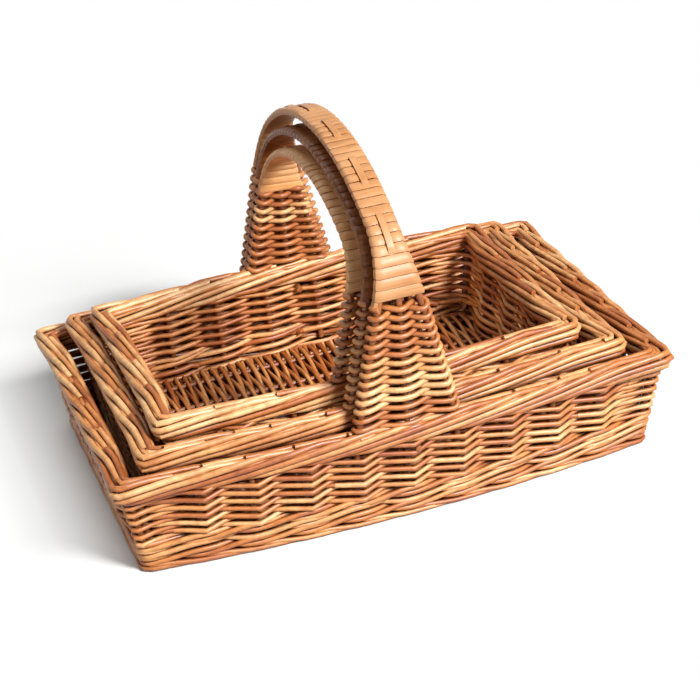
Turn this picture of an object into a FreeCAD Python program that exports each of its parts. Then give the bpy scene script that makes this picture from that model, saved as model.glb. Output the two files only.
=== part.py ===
import FreeCAD, Part
import math
import os

Vector = FreeCAD.Vector

# A nest of three rectangular willow trugs. Each trug has a foot, a base, a
# wall of wale, siding and border woven round upright stakes, and a fixed
# arched handle whose rods splay into a woven fan at each side.
# Units are mm. +Z is up, X runs along the long sides, and the origin is the
# middle of the large trug's foot, on the ground.

# Driving dimensions of the large trug. The width is at the middle, and the
# long sides come in by the bow towards the corners.
RIM_LENGTH = 560.0
RIM_WIDTH = 376.0
LONG_SIDE_BOW = 17.0
WALL_HEIGHT = 110.0
WALL_SPLAY_X = 17.5
WALL_SPLAY_Y = 13.0
CORNER_RADIUS = 12.0
HANDLE_APEX = 348.0

# Driving dimensions of the nest: the free space inside the border round each
# trug, at its ends and its sides, how far it has been pushed along the long
# side, and the free height between one handle and the next.
NEST_GAPS = {"medium": (20.5, 3.5), "small": (14.0, 10.5)}
NEST_SHIFT_X = {"medium": -5.0, "small": -7.0}
LIFT_GAP = 8.0

# Driving dimensions of the handles
ARCH_RISE = {"large": 114.0, "medium": 99.0, "small": 84.0}
FAN_ROD_PITCH = {"large": 46.0, "medium": 41.0, "small": 36.0}
CROWN_DROP = {"large": 33.0, "medium": 28.0, "small": 23.0}

# Levels and thicknesses of the woven work
FOOT_HEIGHT = 8.0
FOOT_WIDTH = 20.0
FOOT_INSET = 1.0
SHARPEST_CORNER = 2.0
FLOOR_TOP = 16.0
WALE_TOP = 34.0
WALE_THICKNESS = 13.0
BORDER_HEIGHT = 26.0
BORDER_WIDTH = 16.0
SIDING_INSET = 2.0
SIDING_THICKNESS = 10.0

# How the weave swells and thins: each face of the siding stands out beside an
# upright and draws in half-way to the next, and each face of the floor draws
# in between two sticks.
SIDING_SWELL = 3.5
SIDING_WAIST = 2.0
FLOOR_WAIST = 2.5

# Rods
STAKE_RADIUS = 2.75
STAKE_PITCH = 52.0
STAKE_MARGIN = 46.0
STAKE_IN_BORDER = 8.0
POST_RADIUS = 3.5
STICK_RADIUS = 2.5
STICK_PITCH = 42.0
STICK_IN_WALE = 6.0
PEG_RADIUS = 3.0
PEG_STUB = 5.0
PEG_BELOW_BORDER = 5.0
PEG_FROM_MIDDLE = 8.0

# Handle
HANDLE_RODS = 3
ROD_RADIUS = 3.2
ROD_PITCH = 11.4
ROD_OVER_STAKE = 2.0
WRAP_THICKNESS = 1.1
BAND_ROUNDING = 0.9
CROWN_STEPS = 9
HAUNCH_STEPS = 8
HANDLE_INSET = 4.0
FAN_MARGIN = 4.0
FAN_THICKNESS = 12.0
LEADER_WIDTH = 6.0
LEADER_THICKNESS = 1.2
LEADER_START = {"large": 3.0, "medium": 1.0, "small": 27.0}
LEADER_LENGTH = 36.0
LEADER_SPACE = 38.0
LEADER_MARGIN = 18.0

# Clearances
BORE_CLEARANCE = 0.45
WRAP_CLEARANCE = 0.6
MAT_CLEARANCE = 0.5
LEADER_CLEARANCE = 0.2

BAND_THICKNESS = 2 * (ROD_RADIUS + WRAP_CLEARANCE + WRAP_THICKNESS)
APEX_STEP = BAND_THICKNESS + LEADER_CLEARANCE + LEADER_THICKNESS + LIFT_GAP
BORDER_BOTTOM = WALL_HEIGHT - BORDER_HEIGHT


class Trug:
    """The sizes of one trug, in its own frame with its foot on z = 0."""

    def __init__(self, name, rim_length, rim_width, apex, shift_x, lift_z):
        self.name = name
        self.rim_length = rim_length
        self.rim_width = rim_width
        self.apex = apex
        self.place = Vector(shift_x, 0, lift_z)
        self.bow = LONG_SIDE_BOW * rim_length / RIM_LENGTH
        self.span = rim_width / 2 - HANDLE_INSET
        self.rise = ARCH_RISE[name]
        self.spring = apex - self.rise
        self.haunch = self.rise - CROWN_DROP[name]
        self.crown = ((self.span ** 2 + self.rise ** 2 - 2 * self.span * self.haunch)
                      / (2 * (self.rise - self.haunch)))
        self.crown_z = apex - self.crown
        self.crown_angle = math.atan2(self.span - self.haunch, self.spring - self.crown_z)

    def arc_lengths(self):
        """The crown arc's and the haunch arc's lengths on one side."""
        return self.crown * self.crown_angle, self.haunch * (math.pi / 2 - self.crown_angle)

    def draw_in(self, x, z):
        """How far a long side has come in at x from its middle."""
        flat = self.half(z)[0] - CORNER_RADIUS
        return self.bow * min(abs(x) / flat, 1.0) ** 2

    def half(self, z):
        """Half the wall's outside length and middle width at height z."""
        up = z / WALL_HEIGHT
        return (self.rim_length / 2 - WALL_SPLAY_X * (1 - up),
                self.rim_width / 2 - WALL_SPLAY_Y * (1 - up))


def nest():
    """The three trugs, each sized from the one round it."""
    large = Trug("large", RIM_LENGTH, RIM_WIDTH, HANDLE_APEX, 0.0, 0.0)
    trugs = [large]
    for name in ("medium", "small"):
        outer = trugs[-1]
        end_gap, side_gap = NEST_GAPS[name]
        trugs.append(Trug(name,
                          outer.rim_length - 2 * (BORDER_WIDTH + end_gap),
                          outer.rim_width - 2 * (BORDER_WIDTH + side_gap),
                          outer.apex - APEX_STEP - FLOOR_TOP,
                          outer.place.x + NEST_SHIFT_X[name],
                          outer.place.z + FLOOR_TOP))
    return trugs


def corner_radius(inset):
    """The corner's radius at this depth inside the outline."""
    return max(CORNER_RADIUS - inset, SHARPEST_CORNER)


def rounded_rectangle(half_x, half_y, radius, z, bow=0.0):
    """A closed wire of four sides and four round corners. The two sides along
    X come in by the bow from their middle to the corners."""
    flat_x = half_x - radius
    flat_y = half_y - bow - radius
    corners = ((flat_x, flat_y, 0), (-flat_x, flat_y, 90),
               (-flat_x, -flat_y, 180), (flat_x, -flat_y, 270))
    arcs = []
    for cx, cy, start in corners:
        circle = Part.Circle(Vector(cx, cy, z), Vector(0, 0, 1), radius)
        arcs.append(circle.toShape(math.radians(start), math.radians(start + 90)))
    edges = []
    for arc, following in zip(arcs, arcs[1:] + arcs[:1]):
        start, end = arc.lastVertex().Point, following.firstVertex().Point
        along_x = abs(start.x - end.x) > abs(start.y - end.y)
        edges.append(arc)
        if bow and along_x:
            middle = Vector(0, math.copysign(half_y, start.y), z)
            edges.append(Part.Arc(start, middle, end).toShape())
        else:
            edges.append(Part.makeLine(start, end))
    return Part.Wire(edges)


def tapered_block(trug, low, high, inset):
    """The inside of the wall's outline from low to high, moved in by inset."""
    wires = []
    for z in (low, high):
        half_x, half_y = trug.half(z)
        wires.append(rounded_rectangle(half_x - inset, half_y - inset, corner_radius(inset), z,
                                       trug.bow))
    return Part.makeLoft(wires, True, True)


def tapered_ring(trug, low, high, inset, thickness):
    outer = tapered_block(trug, low, high, inset)
    return outer.cut(tapered_block(trug, low, high, inset + thickness))


def rod_between(start, end, radius):
    axis = end.sub(start)
    return Part.makeCylinder(radius, axis.Length, start, axis)


def spaced(count, pitch):
    """Places along one line, centred on zero."""
    return [(i - (count - 1) / 2) * pitch for i in range(count)]


def side_places(half_length):
    """Stake places along one side, at a pitch as near as fits the usual one."""
    run = 2 * (half_length - CORNER_RADIUS - STAKE_MARGIN)
    gaps = round(run / STAKE_PITCH)
    return spaced(gaps + 1, run / gaps)


def wall_middle(trug, z):
    """Half sizes of the middle of the wall, where stakes and posts stand."""
    half_x, half_y = trug.half(z)
    middle = SIDING_INSET + SIDING_THICKNESS / 2
    return half_x - middle, half_y - middle


def upright_ends():
    """Stakes and posts start above the base sticks and end in the border."""
    return FLOOR_TOP, BORDER_BOTTOM + STAKE_IN_BORDER


def rod_foot():
    """Handle rods end in the border, just above the tops of the stakes."""
    return upright_ends()[1] + ROD_OVER_STAKE


def stake_axes(trug):
    """The two ends of each upright stake, on all four sides."""
    low, high = upright_ends()
    (low_x, low_y), (high_x, high_y) = wall_middle(trug, low), wall_middle(trug, high)
    base_x, base_y = trug.half(0)
    axes = []
    for side in (-1, 1):
        for x in side_places(base_x):
            axes.append((Vector(x, side * (low_y - trug.draw_in(x, low)), low),
                         Vector(x, side * (high_y - trug.draw_in(x, high)), high)))
        for y in side_places(base_y - trug.bow):
            axes.append((Vector(side * low_x, y, low), Vector(side * high_x, y, high)))
    return axes


def post_axes(trug):
    """The two ends of each corner post, in the middle of the round corner."""
    middle = SIDING_INSET + SIDING_THICKNESS / 2
    pull_in = (CORNER_RADIUS - middle) * (1 - math.sqrt(0.5))
    low, high = upright_ends()
    axes = []
    for side_x in (-1, 1):
        for side_y in (-1, 1):
            ends = []
            for z in (low, high):
                x, y = wall_middle(trug, z)
                ends.append(Vector(side_x * (x - pull_in), side_y * (y - trug.bow - pull_in), z))
            axes.append(tuple(ends))
    return axes


def group(axes, radius):
    return Part.makeCompound([rod_between(start, end, radius) for start, end in axes])


def stick_axes(trug):
    """Base sticks run the length of the floor, with their ends in the wale."""
    z = (FOOT_HEIGHT + FLOOR_TOP) / 2
    half_x, half_y = trug.half(z)
    reach = half_x - WALE_THICKNESS + STICK_IN_WALE
    run = 2 * (half_y - trug.bow - WALE_THICKNESS - CORNER_RADIUS)
    gaps = round(run / STICK_PITCH)
    return [(Vector(-reach, y, z), Vector(reach, y, z)) for y in spaced(gaps + 1, run / gaps)]


def peg_axes(trug):
    """One peg through the siding just under each end of the handle, beside
    the stake nearest the middle."""
    x = PEG_FROM_MIDDLE
    z = BORDER_BOTTOM - PEG_BELOW_BORDER
    outside = trug.half(z)[1] - SIDING_INSET + PEG_STUB
    inside = outside - SIDING_THICKNESS - 2 * PEG_STUB
    return [(Vector(x, side * inside, z), Vector(x, side * outside, z)) for side in (-1, 1)]


def rod_index():
    return spaced(HANDLE_RODS, 1)


class RodPath:
    """The middle line of one handle rod: a crown arc, two haunch arcs and two
    straight legs. The haunch of an outer rod lies in a plane turned about the
    arch, so the legs splay sideways and stay tangent to it."""

    def __init__(self, trug, index):
        depth = BAND_THICKNESS / 2
        self.trug = trug
        self.x = index * ROD_PITCH
        self.haunch = trug.haunch - depth
        self.crown = trug.crown - depth
        self.slope = math.pi / 2 - trug.crown_angle
        self.twist = self.twist_for(index * FAN_ROD_PITCH[trug.name])
        self.turn = math.atan(math.tan(self.slope) / math.cos(self.twist))

    def twist_for(self, foot_x):
        """The twist that brings the rod to foot_x at the top of the border."""
        drop = self.trug.spring - WALL_HEIGHT
        reach = self.haunch * (1 - math.cos(self.slope)) + drop * math.sin(self.slope)
        return math.asin((foot_x - self.x) / reach)

    def joint(self, side):
        """Where the crown arc ends and the haunch arc starts."""
        angle = self.trug.crown_angle
        return Vector(self.x, side * self.crown * math.sin(angle),
                      self.trug.crown_z + self.crown * math.cos(angle))

    def haunch_point(self, side, angle):
        along = Vector(0, side * math.sin(self.slope), -math.cos(self.slope))
        inward = Vector(math.sin(self.twist),
                        -side * math.cos(self.slope) * math.cos(self.twist),
                        -math.sin(self.slope) * math.cos(self.twist))
        return self.joint(side).add(along * (self.haunch * math.sin(angle))).add(
            inward * (self.haunch * (1 - math.cos(angle))))

    def leg_direction(self, side):
        across = math.sin(self.turn) * math.sin(self.twist)
        return Vector(across, 0, -math.sqrt(1 - across ** 2))

    def leg_at(self, side, z):
        """The point of the leg's line at height z."""
        top = self.haunch_point(side, self.turn)
        direction = self.leg_direction(side)
        return top.add(direction * ((z - top.z) / direction.z))

    def half_path(self, side):
        """Edges from the top of the arch down to the end in the border."""
        top = Vector(self.x, 0, self.trug.crown_z + self.crown)
        half_angle = self.trug.crown_angle / 2
        crown_middle = Vector(self.x, side * self.crown * math.sin(half_angle),
                              self.trug.crown_z + self.crown * math.cos(half_angle))
        joint = self.joint(side)
        haunch_middle = self.haunch_point(side, self.turn / 2)
        leg_top = self.haunch_point(side, self.turn)
        foot = self.leg_at(side, rod_foot())
        return [Part.Arc(top, crown_middle, joint).toShape(),
                Part.Arc(joint, haunch_middle, leg_top).toShape(),
                Part.makeLine(leg_top, foot)]

    def solid(self):
        halves = []
        for side in (-1, 1):
            section = Part.Wire(Part.makeCircle(
                ROD_RADIUS, Vector(self.x, 0, self.trug.crown_z + self.crown), Vector(0, 1, 0)))
            halves.append(Part.Wire(self.half_path(side)).makePipeShell([section], True, False))
        return halves[0].fuse(halves[1]).removeSplitter()


def leg_bores(trug, side, low, high):
    """Holes for the rods' straight legs between two heights."""
    bores = []
    for index in rod_index():
        path = RodPath(trug, index)
        bores.append(rod_between(path.leg_at(side, low), path.leg_at(side, high),
                                 ROD_RADIUS + BORE_CLEARANCE))
    return Part.makeCompound(bores)


def handle_rods(trug):
    return Part.makeCompound([RodPath(trug, index).solid() for index in rod_index()])


def handle_fan(trug, side):
    """The woven panel between a leg's splayed rods, from border to wrap."""
    outer_rod = RodPath(trug, rod_index()[-1])
    edge = ROD_RADIUS + FAN_MARGIN
    low_x = outer_rod.leg_at(side, WALL_HEIGHT).x + edge
    high_x = outer_rod.leg_at(side, trug.spring).x + edge
    middle_y = side * (trug.span - BAND_THICKNESS / 2)
    outline = [Vector(-low_x, middle_y - FAN_THICKNESS / 2, WALL_HEIGHT),
               Vector(low_x, middle_y - FAN_THICKNESS / 2, WALL_HEIGHT),
               Vector(high_x, middle_y - FAN_THICKNESS / 2, trug.spring),
               Vector(-high_x, middle_y - FAN_THICKNESS / 2, trug.spring)]
    panel = Part.Face(Part.makePolygon(outline + outline[:1])).extrude(Vector(0, FAN_THICKNESS, 0))
    past = FAN_THICKNESS
    return panel.cut(leg_bores(trug, side, WALL_HEIGHT - past, trug.spring + past))


def haunch_drift(trug, side, angle):
    """How far the outer rods leave the middle rod's arc on the haunch."""
    outer = RodPath(trug, rod_index()[-1]).haunch_point(side, angle)
    from_middle = math.hypot(outer.y - side * (trug.span - trug.haunch), outer.z - trug.spring)
    return abs(from_middle - (trug.haunch - BAND_THICKNESS / 2))


def band_section(trug, side, angle, on_haunch, spare):
    """A rounded section of the wrapped band, square to the arch, with spare
    room round the rods. angle is counted along the crown or the haunch arc.
    On the haunch the section is thicker by as much as the outer rods drift."""
    if on_haunch:
        lean = trug.crown_angle + angle
        middle = Vector(0, side * (trug.span - trug.haunch), trug.spring)
        radius = trug.haunch - BAND_THICKNESS / 2
        half_x = RodPath(trug, rod_index()[-1]).haunch_point(side, angle).x
        drift = haunch_drift(trug, side, angle)
    else:
        lean = angle
        middle = Vector(0, 0, trug.crown_z)
        radius = trug.crown - BAND_THICKNESS / 2
        half_x = rod_index()[-1] * ROD_PITCH
        drift = 0.0
    round_off = ROD_RADIUS + spare
    wire = rounded_rectangle(half_x + round_off, round_off + drift, round_off * BAND_ROUNDING, 0)
    wire.rotate(Vector(0, 0, 0), Vector(1, 0, 0), 90)
    wire.rotate(Vector(0, 0, 0), Vector(1, 0, 0), -side * math.degrees(lean))
    wire.translate(middle.add(Vector(0, side * radius * math.sin(lean), radius * math.cos(lean))))
    return wire


def band_tube(trug, spare):
    """The band from one fan over the arch to the other, as one loft."""
    slope = math.pi / 2 - trug.crown_angle
    haunches = {}
    crowns = {}
    for side in (-1, 1):
        haunches[side] = [band_section(trug, side, slope * i / HAUNCH_STEPS, True, spare)
                          for i in range(1, HAUNCH_STEPS + 1)]
        crowns[side] = [band_section(trug, side, trug.crown_angle * i / CROWN_STEPS, False, spare)
                        for i in range(1, CROWN_STEPS + 1)]
    top = [band_section(trug, 1, 0.0, False, spare)]
    sections = haunches[-1][::-1] + crowns[-1][::-1] + top + crowns[1] + haunches[1]
    return Part.makeLoft(sections, True, True)


def handle_wrap(trug):
    """The cane wrapped round the rods, as a close sleeve."""
    return band_tube(trug, WRAP_CLEARANCE + WRAP_THICKNESS).cut(band_tube(trug, WRAP_CLEARANCE))


def leader_arc(middle, radius, side, angles):
    """A flat strip bent round one arc of the handle, just outside the wrap."""
    low = radius + LEADER_CLEARANCE
    lean = angles[0]
    corner = middle.add(Vector(-LEADER_WIDTH / 2, side * low * math.sin(lean), low * math.cos(lean)))
    rise = Vector(0, side * math.sin(lean), math.cos(lean)) * LEADER_THICKNESS
    across = Vector(LEADER_WIDTH, 0, 0)
    outline = [corner, corner.add(across), corner.add(across).add(rise), corner.add(rise)]
    face = Part.Face(Part.makePolygon(outline + outline[:1]))
    return face.revolve(middle, Vector(-side, 0, 0), math.degrees(angles[1] - angles[0]))


def leader_arcs(trug, side, start, end):
    """The leader strip on one side of the arch. start and end are counted
    along the arc from the top."""
    crown_length = trug.arc_lengths()[0]
    arcs = []
    if start < crown_length:
        angles = [start / trug.crown, min(end, crown_length) / trug.crown]
        arcs.append(leader_arc(Vector(0, 0, trug.crown_z), trug.crown, side, angles))
    if end > crown_length:
        middle = Vector(0, side * (trug.span - trug.haunch), trug.spring)
        angles = [trug.crown_angle + (max(place, crown_length) - crown_length) / trug.haunch
                  for place in (start, end)]
        radius = trug.haunch + haunch_drift(trug, side, angles[1] - trug.crown_angle)
        arcs.append(leader_arc(middle, radius, side, angles))
    return arcs


def leader_places(trug):
    """Where each stretch of leader starts that shows over the wrap, counted
    from the top of the arch towards the front."""
    step = LEADER_LENGTH + LEADER_SPACE
    reach = sum(trug.arc_lengths()) - LEADER_MARGIN
    first = LEADER_START[trug.name]
    steps = math.ceil(2 * reach / step)
    places = [first + i * step for i in range(-steps, steps + 1)]
    return [place for place in places if -reach <= place <= reach - LEADER_LENGTH]


def leader_block(trug, start):
    """One stretch of leader, which may run over the top of the arch."""
    end = start + LEADER_LENGTH
    arcs = []
    if end > 0:
        arcs += leader_arcs(trug, -1, max(start, 0.0), end)
    if start < 0:
        arcs += leader_arcs(trug, 1, max(-end, 0.0), -start)
    block = arcs[0]
    for arc in arcs[1:]:
        block = block.fuse(arc)
    return block


def handle_leader(trug):
    return Part.makeCompound([leader_block(trug, start) for start in leader_places(trug)])


def foot_border(trug):
    """The ring that the trug stands on."""
    half_x, half_y = trug.half(0)
    blocks = []
    for inset in (FOOT_INSET, FOOT_INSET + FOOT_WIDTH):
        outline = rounded_rectangle(half_x - inset, half_y - inset, corner_radius(inset), 0, trug.bow)
        blocks.append(Part.Face(outline).extrude(Vector(0, 0, FOOT_HEIGHT)))
    return blocks[0].cut(blocks[1])


def floor_waves(trug, half_x, half_y):
    """A plate as thick as the floor over each stick and thinner between them."""
    sticks = [start.y for start, end in stick_axes(trug)]
    half_gap = (sticks[1] - sticks[0]) / 2
    edge_waist = FLOOR_WAIST * (half_y - sticks[-1]) / half_gap
    section = [(-half_y, edge_waist)]
    for y in sticks:
        section += [(y, 0.0), (y + half_gap, FLOOR_WAIST)]
    section[-1] = (half_y, edge_waist)
    top = [Vector(-half_x, y, FLOOR_TOP - waist) for y, waist in section]
    under = [Vector(-half_x, y, FOOT_HEIGHT + waist) for y, waist in section[::-1]]
    outline = Part.makePolygon(top + under + top[:1])
    return Part.Face(outline).extrude(Vector(2 * half_x, 0, 0))


def base_mat(trug):
    """The woven floor: it lies on the foot, inside the wale."""
    half_x, half_y = trug.half(FOOT_HEIGHT)
    inset = WALE_THICKNESS + MAT_CLEARANCE
    outline = rounded_rectangle(half_x - inset, half_y - inset, corner_radius(inset), FOOT_HEIGHT,
                                trug.bow)
    plate = Part.Face(outline).extrude(Vector(0, 0, FLOOR_TOP - FOOT_HEIGHT))
    mat = plate.common(floor_waves(trug, half_x - inset, half_y - inset))
    return mat.cut(group(stick_axes(trug), STICK_RADIUS + BORE_CLEARANCE))


def upright_bores(trug):
    return [group(stake_axes(trug), STAKE_RADIUS + BORE_CLEARANCE),
            group(post_axes(trug), POST_RADIUS + BORE_CLEARANCE)]


def wale(trug):
    """The strong lower rows of the wall."""
    ring = tapered_ring(trug, FOOT_HEIGHT, WALE_TOP, 0.0, WALE_THICKNESS)
    return ring.cut(upright_bores(trug) + [group(stick_axes(trug), STICK_RADIUS + BORE_CLEARANCE)])


def woven_outline(trug, z, beside, halfway):
    """A closed outline at height z. Its inset is beside at each stake and post,
    and halfway between them. Each corner is a flat that touches the round."""
    half_x, half_y = trug.half(z)
    end_y = half_y - trug.bow
    base_x, base_y = trug.half(0)
    base_end = base_y - trug.bow
    cut = corner_radius(beside) * (2 - math.sqrt(2))
    points = []
    sides = ((half_x, half_y, base_x, lambda run, depth: Vector(run, trug.draw_in(run, z) - depth, z)),
             (end_y, half_x, base_end, lambda run, depth: Vector(depth, run, z)),
             (half_x, half_y, base_x, lambda run, depth: Vector(-run, depth - trug.draw_in(run, z), z)),
             (end_y, half_x, base_end, lambda run, depth: Vector(-depth, -run, z)))
    for along, out, base, place in sides:
        end = along - beside - cut
        runs = [-end] + side_places(base) + [end]
        for run, following in zip(runs, runs[1:]):
            points.append(place(run, out - beside))
            points.append(place((run + following) / 2, out - halfway))
        points.append(place(end, out - beside))
    return Part.makePolygon(points + points[:1])


def woven_block(trug, beside, halfway):
    """The inside of a woven outline over the height of the siding."""
    outlines = [woven_outline(trug, z, beside, halfway) for z in (WALE_TOP, BORDER_BOTTOM)]
    return Part.makeLoft(outlines, True, True)


def siding(trug):
    """The fine rows between wale and border."""
    inside = SIDING_INSET + SIDING_THICKNESS
    outer = woven_block(trug, SIDING_INSET - SIDING_SWELL, SIDING_INSET + SIDING_WAIST)
    ring = outer.cut(woven_block(trug, inside + SIDING_SWELL, inside - SIDING_WAIST))
    return ring.cut(upright_bores(trug) + [group(peg_axes(trug), PEG_RADIUS + BORE_CLEARANCE)])


def border(trug):
    """The thick rim, with holes for the stakes below and the rods above."""
    ring = tapered_ring(trug, BORDER_BOTTOM, WALL_HEIGHT, 0.0, BORDER_WIDTH)
    low = rod_foot() - BORE_CLEARANCE
    legs = [leg_bores(trug, side, low, WALL_HEIGHT + BORDER_WIDTH) for side in (-1, 1)]
    return ring.cut(upright_bores(trug) + legs)


def pieces(trug):
    return {
        "foot_border": foot_border(trug),
        "base_mat": base_mat(trug),
        "base_sticks": group(stick_axes(trug), STICK_RADIUS),
        "side_stakes": group(stake_axes(trug), STAKE_RADIUS),
        "corner_posts": group(post_axes(trug), POST_RADIUS),
        "wale": wale(trug),
        "siding": siding(trug),
        "border": border(trug),
        "handle_rods": handle_rods(trug),
        "handle_wrap": handle_wrap(trug),
        "handle_leader": handle_leader(trug),
        "handle_fan_front": handle_fan(trug, -1),
        "handle_fan_back": handle_fan(trug, 1),
        "handle_pegs": group(peg_axes(trug), PEG_RADIUS),
    }


def main():
    os.makedirs("parts", exist_ok=True)
    for trug in nest():
        for piece, shape in pieces(trug).items():
            shape.translate(trug.place)
            shape.exportStep("parts/{}_{}.step".format(trug.name, piece))
            print(trug.name, piece, len(shape.Solids), round(shape.Volume), shape.isValid())


main()
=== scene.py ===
import math
import random

import bpy
from mathutils import Matrix, Vector


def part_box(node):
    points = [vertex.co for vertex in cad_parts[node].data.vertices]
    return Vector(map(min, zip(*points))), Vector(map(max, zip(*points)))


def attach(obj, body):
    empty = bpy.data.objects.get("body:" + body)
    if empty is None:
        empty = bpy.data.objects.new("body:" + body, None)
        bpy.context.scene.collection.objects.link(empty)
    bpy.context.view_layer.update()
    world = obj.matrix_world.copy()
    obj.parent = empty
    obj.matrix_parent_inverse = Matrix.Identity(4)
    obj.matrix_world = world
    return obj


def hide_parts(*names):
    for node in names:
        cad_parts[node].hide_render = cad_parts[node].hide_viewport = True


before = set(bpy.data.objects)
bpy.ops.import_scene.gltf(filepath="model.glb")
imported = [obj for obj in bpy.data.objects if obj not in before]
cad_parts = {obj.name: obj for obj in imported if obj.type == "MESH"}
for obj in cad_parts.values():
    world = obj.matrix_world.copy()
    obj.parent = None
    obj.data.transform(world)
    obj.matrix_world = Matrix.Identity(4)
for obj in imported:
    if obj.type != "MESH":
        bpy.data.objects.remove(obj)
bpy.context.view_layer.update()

# Three willow trugs, one inside another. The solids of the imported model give
# each trug's place and size. Their woven work is made here rod by rod.
# Units are metres. +X runs along the long sides and -Y is the front.

MM = 0.001
TRUG_NAMES = ("large", "medium", "small")

# Sizes shared with the solids
CORNER_RADIUS = 12 * MM
LONG_SIDE_BOW = 17 * MM
BOWED_LENGTH = 560 * MM
WALL_MIDDLE = 7 * MM
STAKE_PITCH = 52 * MM
STAKE_MARGIN = 46 * MM
FOOT_INSET = 1 * MM
HANDLE_INSET = 4 * MM
HANDLE_ROD_PITCH = 11.4 * MM
HANDLE_ROD_RADIUS = 3.2 * MM
BAND_DEPTH = 4.9 * MM
FLOOR_STICK_PITCH = 42 * MM
FAN_ROD_PITCH = {"large": 46 * MM, "medium": 41 * MM, "small": 36 * MM}
CROWN_DROP = {"large": 33 * MM, "medium": 28 * MM, "small": 23 * MM}
LEADER_START = {"large": 3 * MM, "medium": 1 * MM, "small": 27 * MM}
LEADER_LENGTH = 36 * MM
LEADER_SPACE = 38 * MM
LEADER_MARGIN = 18 * MM
# More stretches than a handle has room for, each way from its top
LEADERS_EACH_WAY = 6

# The four walls, from the front round to the left end: the way along each
# one, and the way out of it.
WALLS = (((1, 0), (0, -1)), ((0, 1), (1, 0)), ((-1, 0), (0, 1)), ((0, -1), (-1, 0)))

# Willow rods, by thickness. A bevel resolution of 2 gives a rod eight sides.
ROD_BEVEL = 2
SIDING_RADIUS = 2.45 * MM
WALE_RADIUS = 2.7 * MM
BORDER_RADIUS = 3.1 * MM
FOOT_RADIUS = 2.6 * MM
FLOOR_RADIUS = 2.2 * MM
FAN_RADIUS = 2.7 * MM

# How tightly and how widely a rod may bend round a corner post
SHARPEST_BEND = 2.5 * MM
WIDEST_BEND = 2 * CORNER_RADIUS
# What differs from one wall to the next changes over this share of a stake
# gap at the corner.
CORNER_BLEND = 0.6
# The border is wider on the two ends than along the sides.
SIDE_SPREAD = 1.1
END_SPREAD = 1.6
# At a corner the border bends sharply and is drawn out to a point.
BORDER_BEND = 6 * MM
BORDER_POINT = 4.5 * MM
POINT_REACH = 0.7

# The weave
SIDING_ROW = 4.6 * MM
FLOOR_ROW = 5.0 * MM
FAN_ROW = 4.65 * MM
# Where a woven rod's line has its points, in stake gaps from each upright
WEAVE_POINTS = (-0.45, -0.3, -0.18, -0.08, 0.0, 0.07, 0.14, 0.25, 0.36, 0.48)
# A woven rod wanders up and down, and its butt is thicker than its tip. Butt
# and tip are shares of its radius.
WEAVER_WANDER = 0.35 * MM
WEAVER_BUTT = (1.0, 1.12)
WEAVER_TIP = (0.86, 0.97)

# Rods and strips look smooth where two faces meet at less than this angle.
ROD_SMOOTH = math.radians(50)
STRIP_SMOOTH = math.radians(40)

chance = random.Random(41)


def smooth(t):
    """Eases t, from 0 to 1, in and out."""
    return t * t * (3 - 2 * t)


def between(a, b, t):
    """The value at share t of the way from a to b."""
    return a + (b - a) * t


def straight(t):
    """No easing."""
    return t


def along_stops(stops, t, ease=smooth):
    """The value at t of a line through (place, value) stops."""
    if t <= stops[0][0]:
        return stops[0][1]
    for (t0, a), (t1, b) in zip(stops, stops[1:]):
        if t <= t1:
            return between(a, b, ease((t - t0) / (t1 - t0)))
    return stops[-1][1]


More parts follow.
